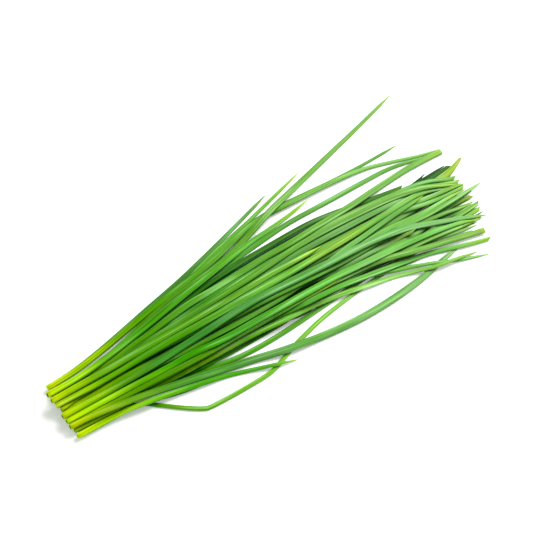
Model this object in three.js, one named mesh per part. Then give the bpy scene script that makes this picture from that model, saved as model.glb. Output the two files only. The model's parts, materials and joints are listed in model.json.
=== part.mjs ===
// A bunch of cut chives lying on a table: thin tubular leaves, cut straight across at the root end and
// fanned out towards the tips. Millimetres, +Z up, +X from the cut ends to the tips. Every leaf is one closed
// tapering tube with a short bore in its cut end. The leaves are laid one after the other, from the bottom of
// the pile to the top, and the pile then sinks together.
import * as THREE from "three";

// Leaf proportions
const SIDES = 6; // corners of a leaf's cross-section, two of them level at the bottom
const ROOT_FLATNESS = 0.84; // a leaf's thickness over its width, where it is cut
const FLATNESS = 0.58; // the same where the leaf lies pressed in the pile
const FLATTENING = 110; // length over which the one turns into the other
const WALL = 0.62; // wall round the bore
const BORE_DEPTH = 9;
const LEAST_BORE = 0.16; // least half-height of the bore
const SLENDER = 0.42; // share of its length over which a slender leaf narrows to its tip
const STOCKY = 0.2; // the same for a leaf that keeps its width until near its tip
const POINT_LENGTH = 9; // the last stretch, which runs out to a point
const POINT_RADIUS = 0.9; // where that stretch starts
const BLUNT_SHARE = 0.76; // a cut tip's width over the leaf's own
const SLANT = 1.1; // how far a cut tip runs on at one edge, over its half-width
const SWELLING = 0.42; // how much a broad leaf widens before its tip

// How the leaves are laid
const GAP = 0.24; // clear space kept between two leaves
const STATION = 4; // spacing of the points at which a leaf's height is worked out
const CHORD_ERROR = 0.13; // how far a straight stretch of the finished tube may leave the leaf's curve
const LONGEST_STRETCH = 34;
const SAG = 1.1e-6; // weight over bending stiffness, in 1/mm3
const SETTLING_SWEEPS = 1500;
const LAYINGS = 4; // the pile is laid this often, each time with the heights of the time before
const SINKING = 1000; // steps in which the laid pile then sinks together
const FALL = 0.1; // first of these steps, in mm
const EASE = 0.7; // share of an overlap that one step takes away
const FALL_SHARE = 0.7; // share of the steps in which the leaves still fall: in the rest they only part
const LOOSE = { give: 1, hold: 0.02 }; // how readily the lowest leaf shifts sideways, and is drawn back
const STEADY = { give: 0.35, hold: 0.1 }; // the same for the topmost leaf, which shows its whole route
const BIN = 9; // the search for neighbours goes through the pile in slices of this width
const NEAR = 1.2;

// One leaf lies over these neighbours near the cut ends, and passes under them beyond this x
const DIVE = { leaf: "broad_bow", under: ["near_down_a", "near_down_b", "near_fork"], from: 190 };

// A route is drawn as the leaf looks from the front, 55 degrees above the table, the line of sight running
// back at 57 degrees to +X. A stretch of leaf that lies h above the table then seems to lie h / tan(55)
// further back than it is.
const SIGHT_ELEVATION = THREE.MathUtils.degToRad(55);
const SIGHT_HEADING = THREE.MathUtils.degToRad(57);
const LEAN = new THREE.Vector2(Math.cos(SIGHT_HEADING), Math.sin(SIGHT_HEADING)).divideScalar(
  Math.tan(SIGHT_ELEVATION),
);

const GREENS = {
  deep: "#2f7a2a",
  mid: "#4f9a2c",
  bright: "#73b53a",
  blue: "#5aa45a",
  yellow: "#9cc63a",
};

// The leaves from the bottom of the pile to the top. A dozen of them are short, and start inside the bunch.
// Widths are across the tube, at the root and at its widest. A route is a list of [x, y] that starts at the
// cut end and ends at the tip. The last number, where there is one, is how readily the leaf shifts sideways.
const leaf = (name, colour, rootWidth, width, route, tip = "point", give = null) => ({
  name,
  colour,
  rootWidth,
  width,
  route,
  tip,
  give,
});

const LEAVES = [
  // Lowest: most of them lie flat on the table
  leaf("kinked", "bright", 2.3, 2.9, [[1.2, -16.2], [20, -16.8], [33, -19], [40, -21.6], [46, -26],
    [53, -31.6], [61, -38], [67.5, -42.6], [70, -43.7], [73, -43.9], [85, -44.2], [100, -43.9],
    [110, -43.2], [114, -42.4], [121, -39.9], [130, -36.6], [140, -33.6], [150, -30.7], [160, -28.2],
    [172, -26.2], [184, -25], [200, -24], [216, -24], [234, -25.5]], "slender"),
  leaf("short_near", "bright", 2.3, 2.8, [[1.4, -18], [20, -18.3], [35, -19.7], [45, -22], [55, -25],
    [65, -27.2], [75, -28.6], [84, -29.6]], "slender"),
  leaf("far_dark_a", "deep", 2.3, 2.9, [[56, 12.6], [90, 14.6], [120, 16.5], [180, 19.5], [230, 20.2],
    [254, 20.2], [264, 22.2], [273.3, 26.3]], "slender"),
  leaf("far_dark_c", "deep", 2.3, 2.7, [[72, 10.6], [120, 13], [180, 15.8], [230, 17], [252, 17.8],
    [264, 19.8], [276.3, 23.6]], "slender"),
  leaf("far_dark_b", "deep", 2.3, 2.8, [[1.7, 10.4], [60, 11], [120, 14.5], [180, 17.4], [230, 18.4],
    [254, 18.8], [268, 20.8], [281.5, 24.4]], "slender"),
  leaf("yellow_wide", "yellow", 2.3, 4.2, [[1.2, 8.5], [60, 9], [120, 12], [180, 14.5], [230, 14.6],
    [255, 14.6], [268, 15.8], [280, 17.9], [290, 20.6], [298.5, 23.1]], "broad"),
  leaf("far_low_a", "mid", 2.3, 3.4, [[1.6, 5.6], [60, 6], [120, 8], [180, 9.3], [230, 7.5], [250, 5.8],
    [268, 6.4], [285.8, 7.6]]),
  leaf("far_low_b", "deep", 2.3, 3.3, [[1.2, 2.7], [60, 2.8], [120, 3.8], [180, 4.4], [220, 3.2],
    [240, 3.7], [256, 4], [270, 5.3], [284.5, 4.6]]),
  leaf("far_low_c", "mid", 2.3, 3.3, [[1.8, -0.2], [60, -0.4], [120, -0.2], [180, 0.6], [220, 0.4],
    [245, -2.2], [262, -4.2], [274, -5], [285.5, -6]]),
  leaf("far_low_d", "bright", 2.3, 3.3, [[1.3, -3.1], [60, -3.4], [120, -4.2], [180, -3.6], [225, -4.6],
    [250, -6.2], [268, -9.6], [286.5, -11.3]]),
  leaf("far_low_e", "blue", 2.3, 3.3, [[1.7, -6], [60, -6.6], [120, -8], [180, -8], [225, -9.4],
    [250, -10.6], [266, -13], [284.6, -13.6]]),
  leaf("far_low_f", "yellow", 2.3, 3.2, [[1.2, -9], [60, -10], [120, -12], [180, -12.6], [225, -13],
    [250, -14.2], [268, -15.2], [284, -15]], "cut"),
  leaf("low_edge", "bright", 2.3, 3.2, [[1.5, -12.6], [50, -15.6], [80, -21.2], [90, -23.2], [101, -24.8],
    [116, -25.2], [130, -24.8], [141, -23.9], [152, -22.8], [165, -21.8], [180, -20.2], [195, -18.4],
    [212, -17.6], [230, -18], [248, -19.8], [262, -21.2], [277, -22.3]]),
  leaf("far_upper_dark", "deep", 2.3, 3, [[1.6, 12.2], [40, 13.2], [60, 16.6], [80, 20.6], [100, 24.2],
    [125, 26.8], [150, 28.3], [170, 29], [190, 28.6], [215, 25.5], [240, 22.5], [262, 20.6], [275, 21.8],
    [287.5, 24.5]], "slender"),
  leaf("slit_dark", "deep", 2.3, 3.8, [[84, 5], [120, 6], [180, 7.4], [215, 7.2], [235, 8], [250, 9],
    [266, 9.6], [280, 8.6]]),
  leaf("slit_mid", "deep", 2.3, 3.4, [[91, 1.6], [120, 2.2], [180, 2.6], [220, 1.6], [245, 1.8],
    [262, 1.2], [286, -0.4]]),
  leaf("slit_low", "mid", 2.3, 3.3, [[78, -2.1], [120, -2.4], [180, -1.6], [225, -2.2], [250, -4.6],
    [265, -7], [285, -8.6]]),

  // Second layer
  leaf("upper_edge", "blue", 2.3, 3.2, [[1.2, 17.3], [20, 19.5], [40, 23.5], [60, 28.7], [80, 34],
    [100, 39.1], [120, 45.4], [140, 52], [160, 59], [171, 62.9], [180.5, 66.4]], "slender", 0.02),
  leaf("yellow_point", "yellow", 2.3, 3, [[1, 13], [20, 12.7], [40, 15.8], [50, 18.6], [60, 22.2],
    [80, 29.8], [100, 36.4], [115, 41.4], [130, 46.2], [145, 50.3], [155, 53], [165, 56.2], [180, 61],
    [195, 65.9], [207, 69.6]], "slender", 0.15),
  leaf("hair_tip", "mid", 2.3, 2.9, [[1.3, 10.6], [20, 11], [40, 14.4], [60, 19.8], [80, 26.2], [110, 35],
    [130, 41.4], [145, 46.4], [156, 50], [168, 52.9], [185, 53.4], [205, 52.8], [230, 52.2], [250, 52.8],
    [272.3, 54]], "slender", 0.2),
  leaf("straight_mid", "bright", 2.3, 3.4, [[1, 8.4], [20, 9.8], [40, 13.4], [60, 18.6], [80, 23],
    [100, 27.2], [120, 31.4], [140, 35.3], [152, 37.6], [165, 39.1], [180, 40], [205, 40.5], [235, 41],
    [256, 41], [270, 39.4], [284, 36.9]]),
  leaf("ridge_dark", "deep", 2.3, 3.7, [[1.3, 5.6], [20, 8.6], [60, 16.2], [90, 22.6], [105, 26.2],
    [118, 28.9], [130, 30.1], [150, 31.2], [165, 31.8], [178, 32], [192, 31.1], [206, 29.6], [222, 27.6],
    [238, 25.9], [253, 24.1]], "cut"),
  leaf("under_ridge", "deep", 2.3, 3.2, [[1.2, 2.8], [40, 7.4], [80, 14], [110, 18.6], [140, 21.4],
    [170, 22.6], [200, 21.6], [225, 18.4], [245, 14.8], [262, 11.8], [282, 12.2]]),
  leaf("fan_low_a", "mid", 2.3, 3.5, [[1.2, 0.1], [40, 1.4], [80, 2.9], [120, 5.2], [160, 6.8], [200, 6],
    [235, 7], [250, 9], [262, 10.2], [272, 8.7], [285, 5.4]]),
  leaf("fan_low_b", "deep", 2.3, 3.4, [[1, -2.7], [40, -4.6], [60, -5.6], [80, -6.3], [100, -6.1],
    [120, -5.5], [140, -4.9], [160, -4.9], [180, -5.7], [200, -7.2], [225, -9.8], [250, -13.2],
    [270, -17.4], [286, -17.9]]),
  leaf("fan_low_c", "mid", 2.3, 3.3, [[1.4, -5.5], [40, -10.8], [80, -15.6], [115, -16.6], [135, -15.8],
    [152, -14.2], [175, -13], [190, -12.8], [205, -14], [220, -16.6], [240, -18], [260, -20.8],
    [276.5, -24.6]]),
  leaf("fan_low_d", "bright", 2.3, 3.2, [[1, -8.3], [40, -12.8], [75, -17.8], [95, -18.6], [112, -17.8],
    [128, -16.6], [143, -15.2], [160, -13.6], [185, -12.6], [210, -13.4], [235, -18.2], [255, -23.6],
    [270, -27.6]], "cut"),
  leaf("near_down_a", "bright", 2.3, 3.3, [[1, -13.9], [30, -13.2], [50, -12.8], [70, -12.6], [90, -12.6],
    [110, -12.9], [130, -13.4], [150, -13.9], [170, -14.8], [188, -16.8], [200, -19.4], [210, -22.6],
    [220, -26.2], [230, -30.3], [238, -33.8], [246, -37.4], [256, -41], [269, -46]], "slender"),

  leaf("fan_mid_a", "mid", 2.3, 3.3, [[58, 10.2], [90, 12.8], [120, 15.6], [170, 18.2], [210, 17],
    [240, 16.2], [264, 18], [288, 21.2]], "cut"),
  leaf("fan_mid_b", "bright", 2.3, 3.3, [[66, 3.5], [90, 5.1], [120, 7.4], [170, 9.8], [210, 9.6],
    [240, 9], [264, 6.2], [285.8, 3.6]], "cut"),
  leaf("fan_mid_c", "bright", 2.3, 3.3, [[52, -5.2], [90, -6.6], [120, -7.8], [170, -9], [210, -8.8],
    [240, -7.4], [262, -4.4], [285, -3.2]], "cut"),
  leaf("fan_mid_d", "mid", 2.3, 3.2, [[61, -13.4], [90, -14.6], [120, -15], [170, -13], [210, -12.6],
    [240, -16.4], [262, -18.2], [281, -18.6]], "cut"),
  leaf("fan_mid_e", "bright", 2.3, 3.3, [[87, 7], [120, 9.8], [170, 12.6], [210, 12.4], [240, 12.4],
    [262, 9.4], [285.4, 6.2]], "cut"),
  leaf("fan_mid_f", "mid", 2.3, 3.2, [[73, -10], [120, -11.4], [170, -11.6], [210, -11.4], [240, -12.4],
    [262, -13.2], [286, -10.6]], "cut"),
  leaf("fan_mid_g", "deep", 2.3, 3.2, [[80, -3], [100, -1.6], [125, 0.6], [160, 1.4], [200, 1.4],
    [240, -0.4], [268, -2.8], [286.5, -1]], "cut"),

  // Third layer
  leaf("long_arc", "bright", 3.6, 4, [[0.4, 16.8], [20, 18.5], [40, 22.3], [55, 25.9], [70, 29.4],
    [85, 32.6], [100, 35.5], [115, 38.6], [130, 42.4], [145, 47.3], [156, 50.6], [168, 52.3], [185, 52.3],
    [205, 52.2], [222, 51.4], [236, 50.2], [248, 48], [258, 45], [268, 41.9], [277, 39.2], [285, 37.6],
    [292.5, 36.7]], "slender", 0.02),
  leaf("high_reach", "bright", 2.5, 4.2, [[1, 14], [20, 13.6], [40, 16.4], [50, 19.1], [60, 22.4],
    [80, 28], [95, 31.5], [110, 34.3], [125, 37], [137, 39.6], [147, 43.2], [158, 47.4], [170, 52],
    [183, 56.4], [200, 61.6], [220, 67.8], [240, 73.9], [260, 80.1], [278, 86], [293.4, 91]],
    "slender", 0.1),
  leaf("under_fan_a", "mid", 2.5, 3.6, [[1, 11], [20, 11.2], [40, 11.6], [65, 13.4], [85, 15.6],
    [105, 18.1], [125, 20.2], [145, 21.8], [165, 23.3], [185, 25], [200, 25.9], [215, 25.5], [230, 24.3],
    [245, 22.5], [256, 21], [264, 19.4], [271, 16.8], [277, 13.4], [284.6, 10.4]], "cut"),
  leaf("under_fan_b", "blue", 2.5, 4, [[1, 7], [20, 7.6], [50, 8.6], [80, 10], [105, 12], [125, 14],
    [145, 15.8], [162, 17.2], [180, 18.1], [200, 18.2], [220, 18], [238, 17.6], [252, 16.6],
    [266, 14.4]]),
  leaf("twin_right", "blue", 2.5, 3.7, [[1.5, -5.6], [25, -6.2], [45, -6], [65, -5.2], [85, -4],
    [100, -2.7], [120, -1.6], [140, -1.3], [155, -1.8], [170, -2.6], [185, -3.7], [200, -5], [213, -6.1],
    [226, -6.3], [238.6, -5.6]], "cut"),
  leaf("slip_under", "mid", 3.5, 3.9, [[0.3, 0.5], [20, 0.5], [40, 0.9], [60, 1.8], [80, 3.2], [100, 5.2],
    [120, 7.7], [140, 9.8], [155, 10.8], [170, 11.6], [183, 12.2]], "slender"),
  leaf("near_down_b", "yellow", 3.2, 3.6, [[0.2, -15.1], [20, -15.3], [40, -15], [60, -14.9], [80, -14.8],
    [100, -14.8], [118, -15.2], [135, -15.9], [150, -17.1], [163, -18.6], [175, -20.4], [188, -23],
    [200, -25.5], [212, -28.3], [224, -32], [235, -35], [247, -36.9], [256, -38.7], [264, -40.4]],
    "slender"),
  leaf("near_short", "bright", 3.2, 3.2, [[0, -19.2], [20, -19], [32, -19.5], [42, -20.8], [52, -22.6],
    [64, -25.1], [76, -27.8], [88, -30.7], [100, -34.7], [112, -38.6], [122, -41.9], [130.6, -44.8]],
    "slender"),
  leaf("fan_right_a", "bright", 2.5, 3.4, [[1, -2], [30, -2.6], [60, -3.8], [100, -4.4], [140, -3.6],
    [170, -1.2], [195, -2], [215, -3.2], [230, -3.6], [245, -4.4], [256, -5.4], [266, -6.4], [276, -8.4],
    [284, -9]]),
  leaf("fan_right_b", "yellow", 2.5, 3.5, [[1.5, 3.6], [40, 4], [80, 4.4], [120, 4.2], [160, 2.6],
    [190, 2.2], [220, 2.4], [240, 1.3], [256, 1.1], [268, 2.3], [279, 2.7], [287, 1.6]]),

  // Top layer
  leaf("near_fork", "bright", 2.5, 3.5, [[1.5, -9.6], [40, -10.6], [80, -11.4], [110, -12], [135, -12.4],
    [150, -13.1], [163, -14.1], [177, -15.4], [190, -17.1], [205, -19.7], [220, -22.2], [235, -24.9],
    [249, -28.9], [262, -33], [275, -36.5]], "cut"),
  leaf("blunt_wide", "yellow", 2.5, 3.8, [[1.5, -11.8], [40, -12], [80, -12.6], [120, -12.3],
    [160, -11.2], [190, -11.5], [206, -12.2], [218, -14.8], [229, -18.2], [240, -21.2], [252, -24],
    [264, -26.8], [276, -29.4]], "blunt"),
  leaf("yellow_stub", "yellow", 2.3, 3.4, [[1.3, -11.1], [40, -11.6], [70, -11.9], [90, -12], [110, -11.8],
    [130, -11.4], [150, -11.2], [168, -11.2], [184, -11.3]], "slender", 0.1),
  leaf("rise_to_yellow", "bright", 2.5, 3.5, [[1, 5.8], [40, 5.4], [80, 4.6], [120, 3.6], [150, 2.4],
    [175, 1.8], [190, 2.8], [200, 4.6], [213, 6.5], [225, 8.6], [236, 10.1], [248, 11.2], [263.6, 12.4]]),
  leaf("broad_bow", "blue", 3.4, 4.9, [[0, -11.6], [12, -11.9], [24, -12.9], [36, -14.6], [48, -17],
    [60, -19.8], [72, -22.5], [84, -25.4], [97, -28.3], [110, -31], [122, -33.8], [134, -36.2],
    [147, -38.4], [160, -40], [174, -40.9], [188, -40.9], [202, -40.1], [216, -38.5], [230, -36.1],
    [243, -33.3], [252, -32], [258.5, -31.2]]),
  leaf("ridge_light", "mid", 2.5, 4.3, [[0.6, 10.2], [20, 10.7], [40, 12.5], [60, 15.5], [80, 18.9],
    [100, 21.6], [120, 23.3], [140, 24.7], [160, 25.8], [180, 26.9], [198, 28], [213, 29.3], [228, 30.9],
    [243, 32.6], [258, 34.1], [273, 35], [291, 34.5]], "blunt"),
  leaf("ridge_third", "bright", 2.5, 3.5, [[1, 7.2], [40, 9], [80, 13], [120, 17.4], [160, 21.4],
    [190, 24], [215, 24.6], [235, 23.2], [252, 20.2], [264, 17.6], [275, 13.2], [285.5, 8.6]], "cut"),
  leaf("ridge_second", "bright", 2.5, 3.9, [[1, 9], [20, 9.4], [40, 10.6], [60, 12.4], [80, 14],
    [100, 15.5], [120, 16.9], [140, 18.6], [160, 20.7], [180, 22.4], [200, 23], [215, 22.5], [230, 21.7],
    [245, 20.2], [256, 18.3], [264, 16.5], [271, 13.8], [278, 10.6], [286, 7.9]]),
  leaf("front_yellow", "yellow", 3.6, 4.2, [[0, 13], [20, 13.7], [40, 16.3], [60, 20.4], [80, 25],
    [100, 29.7], [120, 33.9], [135, 37.2], [150, 40], [163, 41.7], [176, 43.6], [188, 45.9],
    [200.2, 48.6]], "slender", 0.06),
  leaf("crown_stub", "yellow", 3.5, 4.1, [[0, 8.8], [20, 9], [40, 9.3], [60, 9.9], [80, 10.8],
    [100, 11.4], [120, 12.1], [140, 13.1], [160, 14], [175, 14.4], [187.6, 14.6]]),
  leaf("far_needle", "bright", 2.5, 3.4, [[1, -1], [40, -0.6], [80, 0.4], [120, 0.6], [160, -0.6],
    [190, -2.2], [210, -1.6], [225, -0.2], [240, -0.4], [254, -1.4], [266, -1.1], [278, -0.5], [288, 0.3],
    [298.6, 1.2]]),
  leaf("crown_yellow", "yellow", 3.6, 4.2, [[0, 4.5], [20, 4.4], [40, 4.9], [60, 5.8], [80, 6.4],
    [100, 6.7], [120, 7], [140, 7.8], [158, 8.7], [175, 9.5], [190, 10.3], [205, 11.1], [220, 12.2],
    [237, 13.1], [252, 13.9], [263, 13.5], [272, 11.2], [284, 7]]),
  leaf("crown_right", "bright", 3.5, 4.1, [[0, -7.7], [20, -7.8], [40, -8], [60, -8.5], [80, -9.1],
    [100, -9.3], [120, -9], [140, -8.8], [160, -8.6], [182, -8.7], [198, -9.5], [214, -10.5],
    [230, -11.6], [246, -13.2], [259, -15.5], [270, -18.2], [279, -22]]),
  leaf("crown_blue", "blue", 3.6, 4.5, [[0, -3.8], [20, -3.7], [40, -3], [60, -2.1], [80, -0.6],
    [100, 1.5], [115, 2.9], [130, 3.8], [145, 3.2], [160, 2.5], [175, 2.2], [190, 1.9], [205, 1.4],
    [216, 0.6], [227, -0.8], [237, -2.9], [246, -5.9], [256, -9.8], [266, -13.4], [276, -17.6],
    [286, -21.8]]),
];

const LEVEL = Math.cos(Math.PI / SIDES); // half-thickness at the level sides over that at a corner
const smooth = (t) => t * t * (3 - 2 * t);
const clamp01 = (t) => Math.min(1, Math.max(0, t));

// Radius across the tube at a distance along the leaf
function radiusAt(spec, length, along) {
  const share = along / length;
  let body = THREE.MathUtils.lerp(spec.rootWidth, spec.width, smooth(clamp01(share / 0.35))) / 2;
  if (spec.tip === "broad") body *= 1 + SWELLING * smooth(clamp01((share - 0.72) / 0.18));
  const tipLength = spec.tip === "slender" ? SLENDER : STOCKY;
  const narrow = clamp01((share - (1 - tipLength)) / tipLength);
  if (spec.tip === "blunt") return body;
  const end = spec.tip === "cut" ? body * BLUNT_SHARE : POINT_RADIUS;
  if (spec.tip === "broad")
    return THREE.MathUtils.lerp(body, POINT_RADIUS, clamp01((share - 0.91) / 0.09) ** 1.3);
  const taper = THREE.MathUtils.lerp(body, end, narrow ** 1.6);
  if (spec.tip === "cut") return taper;
  const left = length - along;
  return left < POINT_LENGTH ? Math.max(0.02, POINT_RADIUS * (left / POINT_LENGTH)) : taper;
}

// Thickness over width at a distance along the leaf
const flatnessAt = (along) =>
  THREE.MathUtils.lerp(ROOT_FLATNESS, FLATNESS, smooth(clamp01(along / FLATTENING)));

// A leaf's seen route as evenly spaced stations
function stationsOf(spec) {
  const seen = new THREE.CatmullRomCurve3(
    spec.route.map(([x, y]) => new THREE.Vector3(x, y, 0)),
    false,
    "centripetal",
  );
  seen.arcLengthDivisions = 600;
  const length = seen.getLength();
  const count = Math.round(length / STATION);
  return seen.getSpacedPoints(count).map((p, i) => {
    const along = (length * i) / count;
    const r = radiusAt(spec, length, along);
    const flat = flatnessAt(along);
    return { seen: new THREE.Vector2(p.x, p.y), r, flat, foot: flat * r * LEVEL, along, z: 0 };
  });
}

// Where a station lies on the plan, once its height is known
const onPlan = (s) => new THREE.Vector2(s.seen.x - LEAN.x * s.z, s.seen.y - LEAN.y * s.z);

// The lowest height at which a station of a new leaf clears one that is already laid
function heightOver(point, radius, laid) {
  let need = 0;
  for (let i = 0; i + 1 < laid.length; i++) {
    const a = laid[i];
    const b = laid[i + 1];
    const reach = radius + Math.max(a.r, b.r) + GAP;
    const loX = Math.min(a.plan.x, b.plan.x) - reach;
    const hiX = Math.max(a.plan.x, b.plan.x) + reach;
    if (point.x < loX || point.x > hiX) continue;
    const ex = b.plan.x - a.plan.x;
    const ey = b.plan.y - a.plan.y;
    const t = clamp01(((point.x - a.plan.x) * ex + (point.y - a.plan.y) * ey) / (ex * ex + ey * ey));
    const dx = point.x - a.plan.x - t * ex;
    const dy = point.y - a.plan.y - t * ey;
    const sum = radius + a.r + (b.r - a.r) * t + GAP;
    const spare = sum * sum - dx * dx - dy * dy;
    if (spare > 0) need = Math.max(need, a.z + (b.z - a.z) * t + a.flat * Math.sqrt(spare));
  }
  return need;
}

// Lets a leaf settle as a springy rod on the heights that it has to clear
function settle(stations, need) {
  const n = stations.length;
  const z = Float64Array.from(need);
  for (let pass = 0; pass < 400; pass++)
    for (let i = 1; i < n - 1; i++) z[i] = Math.max(need[i], (z[i - 1] + z[i + 1]) / 2 - 0.004);
  const weight = SAG * STATION ** 4;
  for (let pass = 0; pass < SETTLING_SWEEPS; pass++) {
    for (let k = 0; k < n; k++) {
      const i = pass % 2 ? n - 1 - k : k;
      let free;
      if (i === 0) free = 2 * z[1] - z[2];
      else if (i === n - 1) free = 2 * z[n - 2] - z[n - 3];
      else if (i === 1) free = (2 * z[0] + 4 * z[2] - z[3] - weight) / 5;
      else if (i === n - 2) free = (2 * z[n - 1] + 4 * z[n - 3] - z[n - 4] - weight) / 5;
      else free = (4 * (z[i - 1] + z[i + 1]) - z[i - 2] - z[i + 2] - weight) / 6;
      z[i] = Math.max(need[i], free);
    }
  }
  stations.forEach((s, i) => (s.z = z[i]));
}

// Lets the laid leaves shift sideways a little and sink into each other's gaps. Every station keeps two
// freedoms: its height, which slides it along the line of sight, and a shift square to the leaf's course.
function nestle(pile) {
  const all = [];
  for (const [rank, { spec, stations }] of pile.entries()) {
    const share = rank / (pile.length - 1);
    spec.give ??= THREE.MathUtils.lerp(LOOSE.give, STEADY.give, share);
    spec.hold = THREE.MathUtils.lerp(LOOSE.hold, STEADY.hold, share ** 2);
    stations.forEach((s, i) => {
      const before = stations[Math.max(0, i - 1)].seen;
      const after = stations[Math.min(stations.length - 1, i + 1)].seen;
      const course = after.clone().sub(before).normalize();
      Object.assign(s, { nx: -course.y, ny: course.x, shift: 0, spec, next: stations[i + 1] });
      all.push(s);
    });
  }
  const place = (s) => {
    s.x = s.seen.x - LEAN.x * s.z + s.nx * s.shift;
    s.y = s.seen.y - LEAN.y * s.z + s.ny * s.shift;
  };
  // Pairs of a station and another leaf's stretch that come near each other
  const findPairs = () => {
    const bins = new Map();
    for (const s of all) {
      if (!s.next) continue;
      const bin = Math.floor(s.x / BIN);
      if (!bins.has(bin)) bins.set(bin, []);
      bins.get(bin).push(s);
    }
    const pairs = [];
    for (const p of all) {
      const bin = Math.floor(p.x / BIN);
      for (let b = bin - 1; b <= bin + 1; b++)
        for (const q of bins.get(b) ?? []) {
          if (q.spec === p.spec) continue;
          const reach = p.r + q.r + GAP + STATION + NEAR;
          if (Math.abs(p.y - q.y) < reach && Math.abs(p.z - q.z) < reach && Math.abs(p.x - q.x) < reach)
            pairs.push(p, q);
        }
    }
    return pairs;
  };
  // Pushes the two leaves of a pair apart where they are closer than their widths and the gap
  const part = (p, q) => {
    const e = q.next;
    const ex = e.x - q.x;
    const ey = e.y - q.y;
    const flat = (p.flat + q.flat) / 2;
    const eh = (e.z - q.z) / flat;
    const ph = (p.z - q.z) / flat;
    const along = ((p.x - q.x) * ex + (p.y - q.y) * ey + ph * eh) / (ex * ex + ey * ey + eh * eh);
    const t = clamp01(along);
    let gx = p.x - q.x - ex * t;
    let gy = p.y - q.y - ey * t;
    let gh = ph - eh * t;
    const far = Math.sqrt(gx * gx + gy * gy + gh * gh) || 1e-6;
    const short = p.r + q.r + (e.r - q.r) * t + GAP - far;
    if (short <= 0) return;
    gx /= far;
    gy /= far;
    gh /= far;
    const rise = gh / flat - gx * LEAN.x - gy * LEAN.y;
    const ends = [
      [p, 1],
      [q, t - 1],
      [e, -t],
    ];
    let sum = 0;
    for (const [s, share] of ends) {
      const side = gx * s.nx + gy * s.ny;
      sum += share * share * (side * side * s.spec.give + rise * rise);
    }
    if (sum < 1e-6) return;
    const push = (EASE * short) / sum;
    for (const [s, share] of ends) {
      s.shift += share * push * s.spec.give * (gx * s.nx + gy * s.ny);
      s.z += share * push * rise;
      place(s);
    }
  };
  // Evens out a leaf like a springy rod, and draws it back to its route
  const straighten = (stations, amount) => {
    const n = stations.length;
    for (const key of ["shift", "z"]) {
      const v = stations.map((s) => s[key]);
      for (let i = 2; i < n - 2; i++) {
        const free = (4 * (v[i - 1] + v[i + 1]) - v[i - 2] - v[i + 2]) / 6;
        stations[i][key] = THREE.MathUtils.lerp(v[i], free, amount);
      }
      stations[1][key] = THREE.MathUtils.lerp(v[1], (v[0] + v[2]) / 2, amount);
      stations[0][key] = THREE.MathUtils.lerp(v[0], 2 * v[1] - v[2], amount);
      stations[n - 2][key] = THREE.MathUtils.lerp(v[n - 2], (v[n - 3] + v[n - 1]) / 2, amount);
      stations[n - 1][key] = THREE.MathUtils.lerp(v[n - 1], 2 * v[n - 2] - v[n - 3], amount);
    }
  };
  all.forEach(place);
  let pairs = [];
  for (let pass = 0; pass < SINKING; pass++) {
    const late = Math.min(1, pass / (SINKING * FALL_SHARE));
    if (pass % 12 === 0) pairs = findPairs();
    const fall = FALL * (1 - late) ** 1.5;
    for (const s of all) {
      s.z = s.z - fall;
      s.shift *= 1 - s.spec.hold * (1 - late);
    }
    for (const { stations } of pile) straighten(stations, 0.6 - 0.52 * late);
    all.forEach(place);
    for (let again = 0; again < 2; again++) {
      if ((pass + again) % 2) for (let i = 0; i < pairs.length; i += 2) part(pairs[i], pairs[i + 1]);
      else for (let i = pairs.length - 2; i >= 0; i -= 2) part(pairs[i], pairs[i + 1]);
      for (const s of all) {
        s.z = Math.max(s.z, s.foot);
        place(s);
      }
    }
  }
  for (const s of all) s.plan = new THREE.Vector2(s.x, s.y);
}

// Stations that the finished tube needs, so that its straight stretches stay close to the leaf's curve
function keepStations(stations) {
  const point = (s) => new THREE.Vector3(s.plan.x, s.plan.y, s.z);
  const kept = [stations[0]];
  let start = 0;
  for (let end = 2; end < stations.length; end++) {
    const chord = new THREE.Line3(point(stations[start]), point(stations[end]));
    const foot = new THREE.Vector3();
    let bad = stations[end].along - stations[start].along > LONGEST_STRETCH;
    for (let i = start + 1; i < end && !bad; i++) {
      const t = (stations[i].along - stations[start].along) / (stations[end].along - stations[start].along);
      const r = THREE.MathUtils.lerp(stations[start].r, stations[end].r, t);
      chord.closestPointToPoint(point(stations[i]), true, foot);
      bad = foot.distanceTo(point(stations[i])) > CHORD_ERROR || Math.abs(r - stations[i].r) > CHORD_ERROR;
    }
    if (bad) {
      start = end - 1;
      kept.push(stations[start]);
    }
  }
  kept.push(stations[stations.length - 1]);
  return kept;
}

// Whether the leaf carries the other one at a station: the one listed first does, unless the leaf dives
function carries(lower, upper, listedFirst, station) {
  if (station.seen.x > DIVE.from) {
    if (upper.name === DIVE.leaf && DIVE.under.includes(lower.name)) return false;
    if (lower.name === DIVE.leaf && DIVE.under.includes(upper.name)) return true;
  }
  return listedFirst;
}

// Lays the whole pile, bottom to top
function layPile() {
  const pile = LEAVES.map((spec) => ({ spec, stations: stationsOf(spec) }));
  for (let laying = 0; laying < LAYINGS; laying++) {
    for (const { stations } of pile) for (const s of stations) s.plan = onPlan(s);
    pile.forEach(({ spec, stations }, i) => {
      const need = stations.map((s) => {
        const below = pile.filter((other, j) => carries(other.spec, spec, j < i, s));
        return below.reduce((most, other) => Math.max(most, heightOver(s.plan, s.r, other.stations)), s.foot);
      });
      settle(stations, need);
    });
  }
  nestle(pile);
  return pile;
}

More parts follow.
